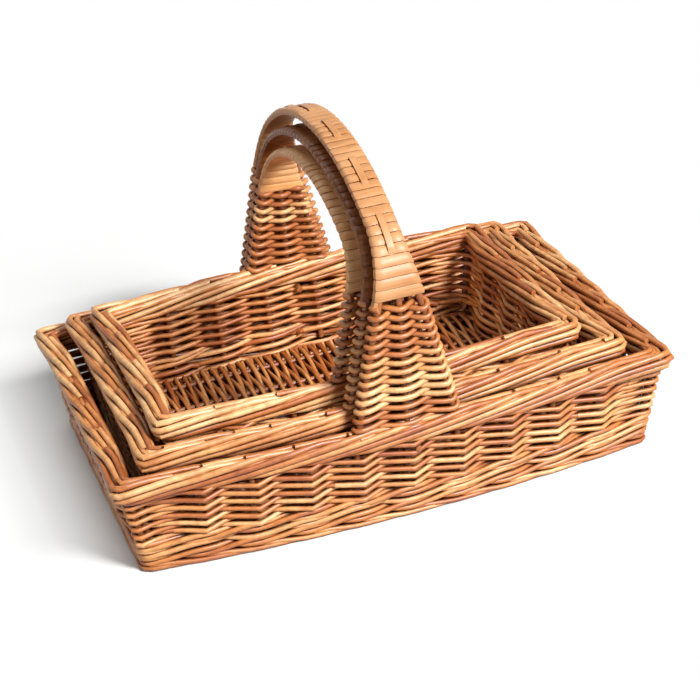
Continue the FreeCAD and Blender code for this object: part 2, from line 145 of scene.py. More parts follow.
class Trug:
    """Where one trug's wall, floor and handle are, read from its solids."""

    def __init__(self, name):
        foot_low, foot_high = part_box(name + "_foot_border")
        rim_low, rim_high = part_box(name + "_border")
        wale_low, wale_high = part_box(name + "_wale")
        mat_low, mat_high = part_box(name + "_base_mat")
        self.name = name
        self.body = name + "_trug"
        self.middle_x = (rim_low.x + rim_high.x) / 2
        self.ground = foot_low.z
        self.foot_top = foot_high.z - self.ground
        self.wale_top = wale_high.z - self.ground
        self.border_low = rim_low.z - self.ground
        self.height = rim_high.z - self.ground
        self.floor_level = (mat_low.z + mat_high.z) / 2 - self.ground
        self.rim_half = ((rim_high.x - rim_low.x) / 2, (rim_high.y - rim_low.y) / 2)
        self.base_half = ((foot_high.x - foot_low.x) / 2 + FOOT_INSET,
                          (foot_high.y - foot_low.y) / 2 + FOOT_INSET)
        self.bow = LONG_SIDE_BOW * 2 * self.rim_half[0] / BOWED_LENGTH
        self.sides = []
        first = 0
        for number, (along, outward) in enumerate(WALLS):
            axis = number % 2
            run = 2 * (self.base_half[axis] - axis * self.bow - CORNER_RADIUS - STAKE_MARGIN)
            gaps = round(run / STAKE_PITCH)
            places = [run * (i / gaps - 0.5) for i in range(gaps + 1)]
            self.sides.append((first, axis, Vector(along), Vector(outward), places))
            first += len(places) + 1
        self.uprights = first
        self.corners = [first for first, *rest in self.sides] + [self.uprights]

    def half(self, z, axis):
        """Half the trug's length or width outside the wall, at this height."""
        return between(self.base_half[axis], self.rim_half[axis], z / self.height)

    def wall_spot(self, upright, z, out, widest_bend=WIDEST_BEND):
        """A point of the wall. upright counts corner posts and stakes from the
        front left corner, with fractions between them, z is the height over
        the ground, and out is the distance outside the stakes' own line. The
        line bends round a corner by widest_bend at most."""
        turn = upright % self.uprights
        side = max(i for i in range(len(WALLS)) if self.corners[i] <= turn)
        first, axis, along, outward, places = self.sides[side]
        inset = WALL_MIDDLE - out
        bend = min(max(CORNER_RADIUS - inset, SHARPEST_BEND), widest_bend)
        flat = self.half(z, axis) - axis * self.bow - inset - bend
        reach = flat + bend * math.pi / 4
        stops = [-reach] + places + [reach]
        number = min(int(turn - first), len(stops) - 2)
        run = between(stops[number], stops[number + 1], turn - first - number)
        depth = self.half(z, 1 - axis) - inset - bend
        if axis == 0:
            depth -= self.bow * min(abs(run) / flat, 1.0) ** 2
        angle = max(abs(run) - flat, 0.0) / bend
        flat_spot = (along * math.copysign(min(abs(run), flat) + bend * math.sin(angle), run)
                     + outward * (depth + bend * math.cos(angle)))
        return Vector((self.middle_x + flat_spot.x, flat_spot.y, self.ground + z))

    def from_corner(self, upright):
        """How many uprights away the nearest corner post is."""
        turn = upright % self.uprights
        return min(abs(turn - corner) for corner in self.corners)

    def lean_to_view(self, upright):
        """1 on the front and left walls, whose outside is seen most, -1 on the
        other two, whose inside is, and 0 at the corners between them."""
        turn = upright % self.uprights
        front_right, back_left = self.corners[1], self.corners[3]
        into = min(turn - front_right, back_left - turn) / CORNER_BLEND
        return max(-1.0, min(1.0, -into))

    def end_share(self, upright):
        """1 on the two ends, 0 on the long sides, and between near a corner."""
        turn = upright % self.uprights
        for side, (start, end) in enumerate(zip(self.corners, self.corners[1:])):
            if turn <= end:
                into = min(turn - start, end - turn)
                here = 0.5 + 0.5 * min(into / CORNER_BLEND, 1.0)
                return here if side % 2 == 1 else 1 - here
        return 0.0


class HandleRod:
    """The middle line of one handle rod: crown arc, haunch arc and leg."""

    def __init__(self, handle, index):
        self.handle = handle
        self.x = index * HANDLE_ROD_PITCH
        self.haunch = handle.haunch - BAND_DEPTH
        self.crown = handle.crown - BAND_DEPTH
        self.slope = math.pi / 2 - handle.crown_angle
        foot_x = index * FAN_ROD_PITCH[handle.trug.name]
        reach = (self.haunch * (1 - math.cos(self.slope))
                 + (handle.spring - handle.rim_top) * math.sin(self.slope))
        self.twist = math.asin((foot_x - self.x) / reach)
        self.turn = math.atan(math.tan(self.slope) / math.cos(self.twist))

    def haunch_spot(self, angle):
        """A point of the front haunch as (sideways, outward, height)."""
        lean = self.handle.crown_angle
        joint = Vector((self.x, self.crown * math.sin(lean),
                        self.handle.crown_z + self.crown * math.cos(lean)))
        forward = Vector((0, math.sin(self.slope), -math.cos(self.slope)))
        inward = Vector((math.sin(self.twist), -math.cos(self.slope) * math.cos(self.twist),
                         -math.sin(self.slope) * math.cos(self.twist)))
        return (joint + forward * (self.haunch * math.sin(angle))
                + inward * (self.haunch * (1 - math.cos(angle))))

    def leg_x(self, z):
        """How far the leg is from the middle at height z."""
        top = self.haunch_spot(self.turn)
        across = math.sin(self.turn) * math.sin(self.twist)
        return top.x + (top.z - z) * across / math.sqrt(1 - across ** 2)


class Handle:
    """The arch of one handle. Places along it are counted from the top, with
    the front half positive."""

    def __init__(self, trug):
        low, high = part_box(trug.name + "_handle_wrap")
        self.trug = trug
        self.rim_top = trug.ground + trug.height
        self.apex = high.z
        self.spring = low.z
        self.span = trug.rim_half[1] - HANDLE_INSET
        rise = self.apex - self.spring
        self.haunch = rise - CROWN_DROP[trug.name]
        self.crown = ((self.span ** 2 + rise ** 2 - 2 * self.span * self.haunch)
                      / (2 * (rise - self.haunch)))
        self.crown_z = self.apex - self.crown
        self.crown_angle = math.atan2(self.span - self.haunch, self.spring - self.crown_z)
        self.crown_length = self.crown * self.crown_angle
        self.length = self.crown_length + self.haunch * (math.pi / 2 - self.crown_angle)
        self.rods = [HandleRod(self, index) for index in (-1, 0, 1)]
        self.outer_rod = self.rods[-1]

    def haunch_angle(self, place):
        """How far round the haunch this place is, or 0 in the crown."""
        return max(abs(place) - self.crown_length, 0.0) / self.haunch

    def half_width(self, place):
        """How far the outer rod's middle is from the band's middle."""
        if abs(place) > self.length:
            return self.outer_rod.leg_x(self.spring + self.length - abs(place))
        angle = min(self.haunch_angle(place), self.outer_rod.slope)
        return self.outer_rod.haunch_spot(angle).x if angle > 0 else self.outer_rod.x

    def drift(self, place):
        """How far the outer rods leave the middle rod's arc."""
        angle = min(self.haunch_angle(place), self.outer_rod.slope)
        if angle == 0:
            return 0.0
        spot = self.outer_rod.haunch_spot(angle)
        radius = math.hypot(spot.y - (self.span - self.haunch), spot.z - self.spring)
        return abs(radius - self.outer_rod.haunch)

    def arch_spot(self, place, x, rise):
        """A point at this place along the arch, x sideways and rise outside
        the rods' own line."""
        side = -1 if place >= 0 else 1
        if abs(place) <= self.crown_length:
            lean = abs(place) / self.crown
            radius = self.crown - BAND_DEPTH + rise
            y, z = radius * math.sin(lean), self.crown_z + radius * math.cos(lean)
        else:
            lean = min(self.crown_angle + self.haunch_angle(place), math.pi / 2)
            radius = self.haunch - BAND_DEPTH + rise
            y = self.span - self.haunch + radius * math.sin(lean)
            z = self.spring + radius * math.cos(lean) - max(abs(place) - self.length, 0.0)
        return Vector((self.trug.middle_x + x, side * y, z))

    def leader_places(self):
        """Where each stretch of leader strip starts that shows over the wrap."""
        step = LEADER_LENGTH + LEADER_SPACE
        reach = self.length - LEADER_MARGIN
        first = LEADER_START[self.trug.name]
        places = [first + i * step for i in range(-LEADERS_EACH_WAY, LEADERS_EACH_WAY + 1)]
        return [place for place in places if -reach <= place <= reach - LEADER_LENGTH]


# Materials

# How far apart the marks of willow and cane are. The grain and the fibres of
# a cut end are finer than a pixel, so they are drawn 2 mm wide.
STAIN_SIZE = 30 * MM
PATCH_SIZE = 6 * MM
GRAIN_SIZE = 2 * MM
STREAK_LENGTH = 40 * MM
STREAK_WIDTH = 1 * MM
# How near the next rod has to be for painted shade to darken a groove
GROOVE_REACH = 14 * MM
WOOD_IOR = 1.5


def linear(hex_code):
    """An sRGB hex colour as linear red, green, blue and alpha."""
    values = [int(hex_code[i:i + 2], 16) / 255 for i in (1, 3, 5)]
    return [v / 12.92 if v <= 0.04045 else ((v + 0.055) / 1.055) ** 2.4 for v in values] + [1.0]


def add_node(tree, kind, settings=None, inputs=None):
    """Adds a node. Each input is a number, a colour or another node's output."""
    node = tree.nodes.new(kind)
    for key, value in (settings or {}).items():
        setattr(node, key, value)
    for key, value in (inputs or {}).items():
        if isinstance(value, bpy.types.NodeSocket):
            tree.links.new(value, node.inputs[key])
        else:
            node.inputs[key].default_value = value
    return node


def new_material(name):
    """A material with an empty node tree."""
    material = bpy.data.materials.new(name)
    material.use_nodes = True
    tree = material.node_tree
    tree.nodes.clear()
    return material, tree


def set_ramp(node, stops):
    """Sets a colour ramp's stops, each a (place, colour)."""
    ramp = node.color_ramp
    while len(ramp.elements) < len(stops):
        ramp.elements.new(0.5)
    for element, (place, colour) in zip(ramp.elements, stops):
        element.position = place
        element.color = colour


def painted_groove_shade(tree, colour, groove):
    """Painted shade: where rods lie close, the grooves between them and the
    depth of the weave are coloured darker than the open sides."""
    # Ambient occlusion puts the shade of the grooves into the colour as painted shade.
    open_share = add_node(tree, "ShaderNodeAmbientOcclusion", {"samples": 6}, {"Distance": GROOVE_REACH})
    shade = add_node(tree, "ShaderNodeValToRGB", None, {"Fac": open_share.outputs["AO"]})
    set_ramp(shade, [(0.12, linear(groove)), (0.58, linear("#FFFFFF"))])
    mixed = add_node(tree, "ShaderNodeMix", {"data_type": "RGBA", "blend_type": "MULTIPLY"},
                     {"Factor": 1.0, "A": colour, "B": shade.outputs["Color"]})
    return mixed.outputs["Result"]


def boiled_willow(name, tones, roughness):
    """Buff willow: rods boiled in their bark, peeled and left smooth. Every rod
    has its own honey tone, with soft stains along it and a waxy sheen."""
    material, tree = new_material(name)
    coords = add_node(tree, "ShaderNodeTexCoord")
    shape = add_node(tree, "ShaderNodeNewGeometry")
    tone = add_node(tree, "ShaderNodeValToRGB", None, {"Fac": shape.outputs["Random Per Island"]})
    set_ramp(tone, [(i / (len(tones) - 1), linear(code)) for i, code in enumerate(tones)])
    stain = add_node(tree, "ShaderNodeTexNoise", None,
                     {"Vector": coords.outputs["Object"], "Scale": 1 / STAIN_SIZE, "Detail": 2.0})
    stain_shade = add_node(tree, "ShaderNodeValToRGB", None, {"Fac": stain.outputs["Fac"]})
    set_ramp(stain_shade, [(0.32, linear("#D9BFA6")), (0.6, linear("#FFFFFF"))])
    stained = add_node(tree, "ShaderNodeMix", {"data_type": "RGBA", "blend_type": "MULTIPLY"},
                       {"Factor": 0.8, "A": tone.outputs["Color"], "B": stain_shade.outputs["Color"]})
    patch = add_node(tree, "ShaderNodeTexNoise", None,
                     {"Vector": coords.outputs["Object"], "Scale": 1 / PATCH_SIZE, "Detail": 1.0})
    patch_shade = add_node(tree, "ShaderNodeValToRGB", None, {"Fac": patch.outputs["Fac"]})
    set_ramp(patch_shade, [(0.3, linear("#DDC4AC")), (0.62, linear("#FFFFFF"))])
    patched = add_node(tree, "ShaderNodeMix", {"data_type": "RGBA", "blend_type": "MULTIPLY"},
                       {"Factor": 0.6, "A": stained.outputs["Result"], "B": patch_shade.outputs["Color"]})
    rough = add_node(tree, "ShaderNodeMapRange", None,
                     {"Value": patch.outputs["Fac"], "To Min": roughness - 0.06, "To Max": roughness + 0.1})
    grain = add_node(tree, "ShaderNodeTexNoise", None,
                     {"Vector": coords.outputs["Object"], "Scale": 1 / GRAIN_SIZE, "Detail": 1.0})
    bump = add_node(tree, "ShaderNodeBump", None,
                    {"Strength": 0.15, "Distance": 0.15 * MM, "Height": grain.outputs["Fac"]})
    # Painted shade: the rods' colour is darkened in the grooves and the depth of the weave.
    shaded_in_grooves = painted_groove_shade(tree, patched.outputs["Result"], "#6E3414")
    skin = add_node(tree, "ShaderNodeBsdfPrincipled", None,
                    {"Base Color": shaded_in_grooves, "Roughness": rough.outputs["Result"],
                     "IOR": WOOD_IOR, "Specular IOR Level": 0.9, "Normal": bump.outputs["Normal"]})
    add_node(tree, "ShaderNodeOutputMaterial", None, {"Surface": skin.outputs["BSDF"]})
    return material


def cut_willow():
    """The cut end of a rod: pale, dull wood with darker flecks of fibre."""
    material, tree = new_material("cut_willow_end")
    coords = add_node(tree, "ShaderNodeTexCoord")
    fibre = add_node(tree, "ShaderNodeTexNoise", None,
                     {"Vector": coords.outputs["Object"], "Scale": 1 / GRAIN_SIZE, "Detail": 2.0})
    tone = add_node(tree, "ShaderNodeValToRGB", None, {"Fac": fibre.outputs["Fac"]})
    set_ramp(tone, [(0.35, linear("#D8AE7C")), (0.65, linear("#F6E2C0"))])
    skin = add_node(tree, "ShaderNodeBsdfPrincipled", None,
                    {"Base Color": tone.outputs["Color"], "Roughness": 0.8, "IOR": WOOD_IOR})
    add_node(tree, "ShaderNodeOutputMaterial", None, {"Surface": skin.outputs["BSDF"]})
    return material


def lapping_cane(name, pale, deep):
    """Flat cane, split and planed: fine streaks along its length under a satin
    skin."""
    material, tree = new_material(name)
    coords = add_node(tree, "ShaderNodeTexCoord")
    # The strip's own map is in metres.
    stretched = add_node(tree, "ShaderNodeMapping", None,
                         {"Vector": coords.outputs["UV"],
                          "Scale": (1 / STREAK_LENGTH, 1 / STREAK_WIDTH, 1.0)})
    streak = add_node(tree, "ShaderNodeTexNoise", None,
                      {"Vector": stretched.outputs["Vector"], "Scale": 1.0, "Detail": 3.0})
    patch = add_node(tree, "ShaderNodeTexNoise", None,
                     {"Vector": coords.outputs["Object"], "Scale": 1 / STAIN_SIZE, "Detail": 2.0})
    blend = add_node(tree, "ShaderNodeMix", {"data_type": "FLOAT"},
                     {"Factor": 0.45, "A": streak.outputs["Fac"], "B": patch.outputs["Fac"]})
    tone = add_node(tree, "ShaderNodeValToRGB", None, {"Fac": blend.outputs["Result"]})
    set_ramp(tone, [(0.36, linear(deep)), (0.6, linear(pale))])
    bump = add_node(tree, "ShaderNodeBump", None,
                    {"Strength": 0.35, "Distance": 0.2 * MM, "Height": streak.outputs["Fac"]})
    skin = add_node(tree, "ShaderNodeBsdfPrincipled", None,
                    {"Base Color": tone.outputs["Color"], "Roughness": 0.45, "IOR": WOOD_IOR,
                     "Normal": bump.outputs["Normal"]})
    add_node(tree, "ShaderNodeOutputMaterial", None, {"Surface": skin.outputs["BSDF"]})
    return material


WEAVE = boiled_willow("boiled_willow_weavers", ["#B05E22", "#CE823E", "#E2A05C", "#F1BA7E"], 0.44)
BORDER = boiled_willow("boiled_willow_border_rods", ["#B46428", "#D08848", "#E8AC6C", "#F6C88E"], 0.42)
UPRIGHT = boiled_willow("boiled_willow_stakes", ["#A05C2A", "#BC763D"], 0.45)
CUT_END = cut_willow()
CANES = {"large": lapping_cane("lapping_cane_tan", "#CE9868", "#B47A48"),
         # Painted shade: the medium's cane is coloured darker for the shadow that the large handle casts on
         # it.
         "medium": lapping_cane("lapping_cane_painted_shade", "#9A5A2A", "#6E3C18"),
         # Painted light: the small's cane is coloured paler, to look lit where the larger handles shade it.
         "small": lapping_cane("lapping_cane_painted_light", "#F2BE88", "#D89658")}


# Shapes


def pick_only(piece):
    """Selects this piece alone and makes it the active one."""
    bpy.ops.object.select_all(action="DESELECT")
    piece.select_set(True)
    bpy.context.view_layer.objects.active = piece


def rods_piece(name, lines, material):
    """Round rods as one mesh. Each line is a list of (spot, radius)."""
    curve = bpy.data.curves.new(name, "CURVE")
    curve.dimensions = "3D"
    curve.bevel_depth = MM
    curve.bevel_resolution = ROD_BEVEL
    curve.use_fill_caps = True
    for line in lines:
        spline = curve.splines.new("POLY")
        spline.points.add(len(line) - 1)
        for point, (spot, radius) in zip(spline.points, line):
            point.co = (*spot, 1.0)
            point.radius = radius / MM
    piece = bpy.data.objects.new(name, curve)
    bpy.context.scene.collection.objects.link(piece)
    pick_only(piece)
    bpy.ops.object.convert(target="MESH")
    piece = bpy.context.view_layer.objects.active
    piece.data.materials.clear()
    piece.data.materials.append(material)
    piece.data.materials.append(CUT_END)
    bpy.ops.object.mode_set(mode="EDIT")
    bpy.ops.mesh.select_all(action="SELECT")
    bpy.ops.mesh.remove_doubles(threshold=0.001 * MM)
    # The cut ends are the only faces with more than four sides.
    bpy.ops.mesh.select_face_by_sides(number=4, type="GREATER", extend=False)
    piece.active_material_index = 1
    bpy.ops.object.material_slot_assign()
    bpy.ops.object.mode_set(mode="OBJECT")
    bpy.ops.object.shade_smooth_by_angle(angle=ROD_SMOOTH)
    return piece


def place_piece(piece, trug, node):
    """Hangs a piece on its trug in the place of one of the trug's solids."""
    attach(piece, trug.body)
    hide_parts(trug.name + "_" + node)


def woven_rod(trug, start, count, z, swings, lifts, radius):
    """One rod woven through the wall. swings and lifts give how far out and
    how high it is near each upright."""
    wander = [chance.uniform(-WEAVER_WANDER, WEAVER_WANDER) for _ in range(count + 2)]
    butt = radius * chance.uniform(*WEAVER_BUTT)
    tip = radius * chance.uniform(*WEAVER_TIP)
    line = []
    for step in range(count + 1):
        for offset in WEAVE_POINTS:
            upright = start + step + offset
            drift = between(wander[step], wander[step + 1], offset - WEAVE_POINTS[0])
            spot = trug.wall_spot(upright, z + drift + lifts(upright), swings(upright))
            line.append((spot, between(butt, tip, (step + offset) / count)))
    return line


# The siding's rods come forward slowly, bend just past the stake and go
# behind the wall quickly. Stops are (uprights from the stake it covers, mm).
SIDING_SWING = [(-1.0, -6.0), (-0.55, 0.5), (0.07, 8.4), (0.5, -0.5), (1.0, -6.0)]
SIDING_DIP = [(-0.55, 0.6), (0.07, -2.6), (0.5, 0.6)]
# Beside a corner post the rods lie close in one plane: (uprights away, share of the swing).
CORNER_HUG = [(0.0, 1.0), (0.22, 0.35), (0.6, 0.35), (1.0, 1.0)]
SIDING_OVER_WALE = 1.5 * MM
SIDING_IN_BORDER = 2.0 * MM
RODS_IN_ROW = 3


def siding(trug):
    """Plain rand: each row goes in front of one stake and behind the next."""
    lines = []
    low = trug.wale_top + SIDING_OVER_WALE
    high = trug.border_low + SIDING_IN_BORDER
    rows = round((high - low) / SIDING_ROW) + 1
    for row in range(rows):
        z = low + row * (high - low) / (rows - 1)

        def phase(upright, row=row):
            """Place in the two-stake pattern, from -1 to 1 about a front."""
            return (upright + row + 1) % 2 - 1

        start = chance.randrange(trug.uprights)
        for rod in range(RODS_IN_ROW):
            first = start + round(rod * trug.uprights / RODS_IN_ROW)
            last = start + round((rod + 1) * trug.uprights / RODS_IN_ROW)
            lines.append(woven_rod(
                trug, first, last - first, z,
                lambda u: (along_stops(SIDING_SWING, phase(u), straight) * MM
                           * along_stops(CORNER_HUG, trug.from_corner(u), straight)),
                lambda u: along_stops(SIDING_DIP, phase(u), straight) * MM * trug.lean_to_view(u),
                SIDING_RADIUS))
    piece = rods_piece(trug.name + "_siding_rods", lines, WEAVE)
    place_piece(piece, trug, "siding")


# A wale's rod passes in front of two stakes, rising, and behind the third.
# Stops are (uprights passed, mm).
WALE_SWING = [(0.0, 5.8), (1.0, 6.4), (2.0, -5.2), (3.0, 5.8)]
WALE_RISE = [(0.0, -3.6), (1.0, 3.0), (2.0, 0.5), (3.0, -3.6)]
WALE_END = -6 * MM
WALE_MARGIN = 4.5 * MM
WALE_ROUNDS = 3
WALE_RODS = 3
# The place in the pattern where a rod is behind a stake
WALE_BEHIND = 2


def wale(trug):
    """Three rounds of three-rod wale."""
    lines = []
    low = trug.foot_top + WALE_MARGIN
    high = trug.wale_top - WALE_MARGIN
    patterns = trug.uprights // WALE_RODS
    for number in range(WALE_ROUNDS):
        z = between(low, high, number / (WALE_ROUNDS - 1))
        for rod in range(WALE_RODS):
            # Each rod starts and ends behind a stake, inside the wall.
            start = WALE_RODS * chance.randrange(patterns) + WALE_BEHIND - rod - number
            count = WALE_RODS * (patterns + 1)

            def phase(upright, rod=rod, number=number):
                """Place in the three-stake pattern, from 0 to 3."""
                return (upright + rod + number) % WALE_RODS

            line = woven_rod(
                trug, start, count, z,
                lambda u: along_stops(WALE_SWING, phase(u)) * MM,
                lambda u: along_stops(WALE_RISE, phase(u)) * MM, WALE_RADIUS)
            for end, place in ((0, start + WEAVE_POINTS[0]), (-1, start + count + WEAVE_POINTS[-1])):
                line[end] = (trug.wall_spot(place, z, WALE_END), WALE_RADIUS)
            lines.append(line)
    piece = rods_piece(trug.name + "_wale_rods", lines, WEAVE)
    place_piece(piece, trug, "wale")


# A border rod starts on top, goes down the inner face and under the border,
# climbs the outer face and dives in again beside the next rod's start, so
# that about seven lie side by side. Stops are (uprights passed, mm out, mm
# below the top).
BORDER_RUN = [(-4.0, -1.6, 3.2), (-3.0, -6.0, 5.5), (-2.2, -6.6, 10.5), (-1.4, -6.4, 16.5),
              (-0.8, -4.5, 22.0), (-0.25, -0.5, 23.6), (0.2, 3.4, 22.6), (1.0, 5.0, 17.8),
              (1.9, 5.6, 11.6), (2.7, 5.0, 5.8), (3.3, 1.4, 3.4), (3.85, -1.5, 7.5)]
BORDER_POINTS = 72
# No two rods start, end or lie quite alike.
BORDER_START_PLAY = 0.3
BORDER_END_PLAY = 0.2
BORDER_BUTT = (0.9, 1.0)
BORDER_TIP = (0.98, 1.08)
BORDER_SWAY = 0.5 * MM
SWAY_TURN = 1.7
# Core rods, as (mm below the top, mm out)
BORDER_CORE = [(8.5, -1.0), (13.5, -1.0), (18.5, -1.0), (8.0, -6.0), (8.5, 3.5)]
CORE_POINTS_IN_GAP = 8


def core_ring(trug, z, out, radius):
    """A plain rod round the wall, deep inside the plaited ones. Its ends lap."""
    points = trug.uprights * CORE_POINTS_IN_GAP + 2
    return [(trug.wall_spot(i / CORE_POINTS_IN_GAP, z, out), radius) for i in range(points)]


def border(trug):
    """The plaited border, with one rod for each upright."""
    outs = [(t, out) for t, out, below in BORDER_RUN]
    belows = [(t, below) for t, out, below in BORDER_RUN]
    first, last = BORDER_RUN[0][0], BORDER_RUN[-1][0]
    lines = []
    for upright in range(trug.uprights):
        start = first + chance.uniform(-BORDER_START_PLAY, BORDER_START_PLAY)
        end = last + chance.uniform(-BORDER_END_PLAY, BORDER_END_PLAY)
        butt = BORDER_RADIUS * chance.uniform(*BORDER_BUTT)
        tip = BORDER_RADIUS * chance.uniform(*BORDER_TIP)
        sway = chance.uniform(-BORDER_SWAY, BORDER_SWAY)
        line = []
        for i in range(BORDER_POINTS + 1):
            passed = between(start, end, i / BORDER_POINTS)
            spread = between(SIDE_SPREAD, END_SPREAD, trug.end_share(upright + passed))
            out = along_stops(outs, passed, straight) * MM * spread
            out += BORDER_POINT * max(1 - trug.from_corner(upright + passed) / POINT_REACH, 0.0)
            z = trug.height - along_stops(belows, passed, straight) * MM
            z += sway * math.sin(passed * SWAY_TURN)
            line.append((trug.wall_spot(upright + passed, z, out, BORDER_BEND),
                         between(butt, tip, i / BORDER_POINTS)))
        lines.append(line)
    for below, out in BORDER_CORE:
        lines.append(core_ring(trug, trug.height - below * MM, out * MM, BORDER_RADIUS))
    piece = rods_piece(trug.name + "_border_rods", lines, BORDER)
    place_piece(piece, trug, "border")


# A foot rod comes down from under the wale, runs along the outer edge of the
# foot and turns in under the floor. Stops are (uprights passed, mm out, mm high).
FOOT_RUN = [(-0.5, -5.0, 11.5), (0.2, 6.2, 6.5), (1.0, 7.8, 3.4), (2.4, 5.0, 2.7), (3.4, -5.0, 3.2),
            (4.3, -11.0, 5.0)]
FOOT_POINTS = 34
FOOT_END_PLAY = (-0.4, 0.2)
FOOT_BUTT = (0.92, 1.03)
FOOT_TIP = 0.9
# Core rods, as (mm high, mm out)
FOOT_CORE = [(3.0, -2.0), (4.0, -8.0), (9.0, -3.5)]


def foot_border(trug):
    """The plaited foot that the trug stands on."""
    outs = [(t, out) for t, out, z in FOOT_RUN]
    heights = [(t, z) for t, out, z in FOOT_RUN]
    first, last = FOOT_RUN[0][0], FOOT_RUN[-1][0]
    lines = []
    for upright in range(trug.uprights):
        end = last + chance.uniform(*FOOT_END_PLAY)
        butt = FOOT_RADIUS * chance.uniform(*FOOT_BUTT)
        line = []
        for i in range(FOOT_POINTS + 1):
            passed = between(first, end, i / FOOT_POINTS)
            out = along_stops(outs, passed) * MM
            z = along_stops(heights, passed) * MM
            line.append((trug.wall_spot(upright + passed, z, out),
                         between(butt, butt * FOOT_TIP, i / FOOT_POINTS)))
        lines.append(line)
    lines += [core_ring(trug, z * MM, out * MM, FOOT_RADIUS) for z, out in FOOT_CORE]
    piece = rods_piece(trug.name + "_foot_rods", lines, WEAVE)
    place_piece(piece, trug, "foot_border")


# The floor's rods: how far in from the ends the first and last lie, and how
# far they rise and fall.
FLOOR_INSET = 1.5 * MM
FLOOR_SWING = 3.3 * MM
# Below 1, a rod's wave over and under the sticks has broad tops.
FLOOR_WAVE = 0.7
FLOOR_PLAY = (0.85, 1.15)
FLOOR_LEAN = 1.2 * MM
LEAN_TURN = 1.3
FLOOR_POINTS_IN_GAP = 5


def floor_weave(trug):
    """The floor: rods woven across the sticks that run its length. They get
    shorter towards the ends, as the long sides are bowed."""
    low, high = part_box(trug.name + "_base_sticks")
    mat_low, mat_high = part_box(trug.name + "_base_mat")
    z = trug.ground + trug.floor_level
    length = mat_high.x - mat_low.x
    count = int((length - 2 * FLOOR_INSET) / FLOOR_ROW)
    step = (length - 2 * FLOOR_INSET) / count
    stick_radius = (high.z - low.z) / 2
    first, last = low.y + stick_radius, high.y - stick_radius
    gaps = round((last - first) / FLOOR_STICK_PITCH)
    pitch = (last - first) / gaps
    points = (gaps + 2) * FLOOR_POINTS_IN_GAP
    lines = []
    for row in range(count + 1):
        x = mat_low.x + FLOOR_INSET + row * step
        draw_in = trug.bow * ((x - trug.middle_x) * 2 / length) ** 2
        radius = FLOOR_RADIUS * chance.uniform(*FLOOR_PLAY)
        lean = chance.uniform(-FLOOR_LEAN, FLOOR_LEAN)
        line = []
        for i in range(points + 1):
            y = between(mat_low.y + draw_in, mat_high.y - draw_in, i / points)
            stick = (y - first) / pitch
            over = math.cos(math.pi * (stick + row))
            level = z + FLOOR_SWING * math.copysign(abs(over) ** FLOOR_WAVE, over)
            line.append((Vector((x + lean * math.sin(stick * LEAN_TURN), y, level)), radius))
        lines.append(line)
    piece = rods_piece(trug.name + "_floor_rods", lines, WEAVE)
    place_piece(piece, trug, "base_mat")


# Between two ribs a fan's rod crosses from one face to the other. Stops are
# (share of the gap, share of the swing).
FAN_SWING = [(0.0, 1.0), (0.1, 0.97), (0.25, 0.7), (0.42, 0.2), (0.58, -0.2), (0.75, -0.7), (0.9, -0.97)]
FAN_DIP = 1.4 * MM
FAN_SQUEEZE = 0.3 * MM
FAN_BELOW_RIM = 6 * MM
FAN_ABOVE_SPRING = 4 * MM
FAN_TURN_STEPS = 8
FAN_RODS = 5
FAN_PLAY = (0.95, 1.08)
# Each rod of a fan laps the next one by this many points.
FAN_LAP = 4


def fan(trug, handle, side, node):
    """The woven fan: a rod goes to and fro between the three splayed handle
    rods and turns round the outer ones."""
    swing = HANDLE_ROD_RADIUS + FAN_RADIUS - FAN_SQUEEZE
    middle_y = side * (handle.span - BAND_DEPTH)
    low = handle.rim_top - FAN_BELOW_RIM
    high = handle.spring + FAN_ABOVE_SPRING
    rows = int((high - low) / FAN_ROW)
    last_rib = len(handle.rods) - 1
    spots = []
    for row in range(rows):
        ribs = list(range(last_rib + 1))
        if row % 2 == 1:
            ribs.reverse()
        z = low + row * FAN_ROW
        for a, b in zip(ribs, ribs[1:]):
            sign = 1 if (a + row) % 2 == 0 else -1
            for t, share in FAN_SWING:
                x = between(handle.rods[a].leg_x(z), handle.rods[b].leg_x(z), t)
                dip = FAN_DIP * max(sign * share, 0.0)
                spots.append(Vector((x, sign * share * swing, z - dip)))
        end = ribs[-1]
        sign = 1 if (end + row) % 2 == 0 else -1
        outward = 1 if end == last_rib else -1
        for i in range(FAN_TURN_STEPS):
            angle = math.pi * i / FAN_TURN_STEPS
            z_turn = z + FAN_ROW * i / FAN_TURN_STEPS
            dip = FAN_DIP * max(sign * math.cos(angle), 0.0)
            x = handle.rods[end].leg_x(z_turn) + outward * swing * math.sin(angle)
            spots.append(Vector((x, sign * swing * math.cos(angle), z_turn - dip)))
    lines = []
    length = len(spots) // FAN_RODS
    for part in range(FAN_RODS):
        run = spots[part * length:(part + 1) * length + FAN_LAP]
        radius = FAN_RADIUS * chance.uniform(*FAN_PLAY)
        lines.append([(Vector((trug.middle_x + s.x, middle_y + side * s.y, s.z)), radius) for s in run])
    piece = rods_piece(trug.name + "_" + node + "_rods", lines, BORDER)
    place_piece(piece, trug, node)


# The cane that is wound round the handle's rods
CANE_THICKNESS = 1.3 * MM
CANE_QUADS = 4
TURN_WIDTH = 10.3 * MM
TURN_GAP = 0.45 * MM
TURN_LENGTH = 85 * MM
# A turn is crowned in the middle, and its lower edge stands proud of the next.
TURN_CROWN = 0.75 * MM
TURN_TILT = 0.25 * MM
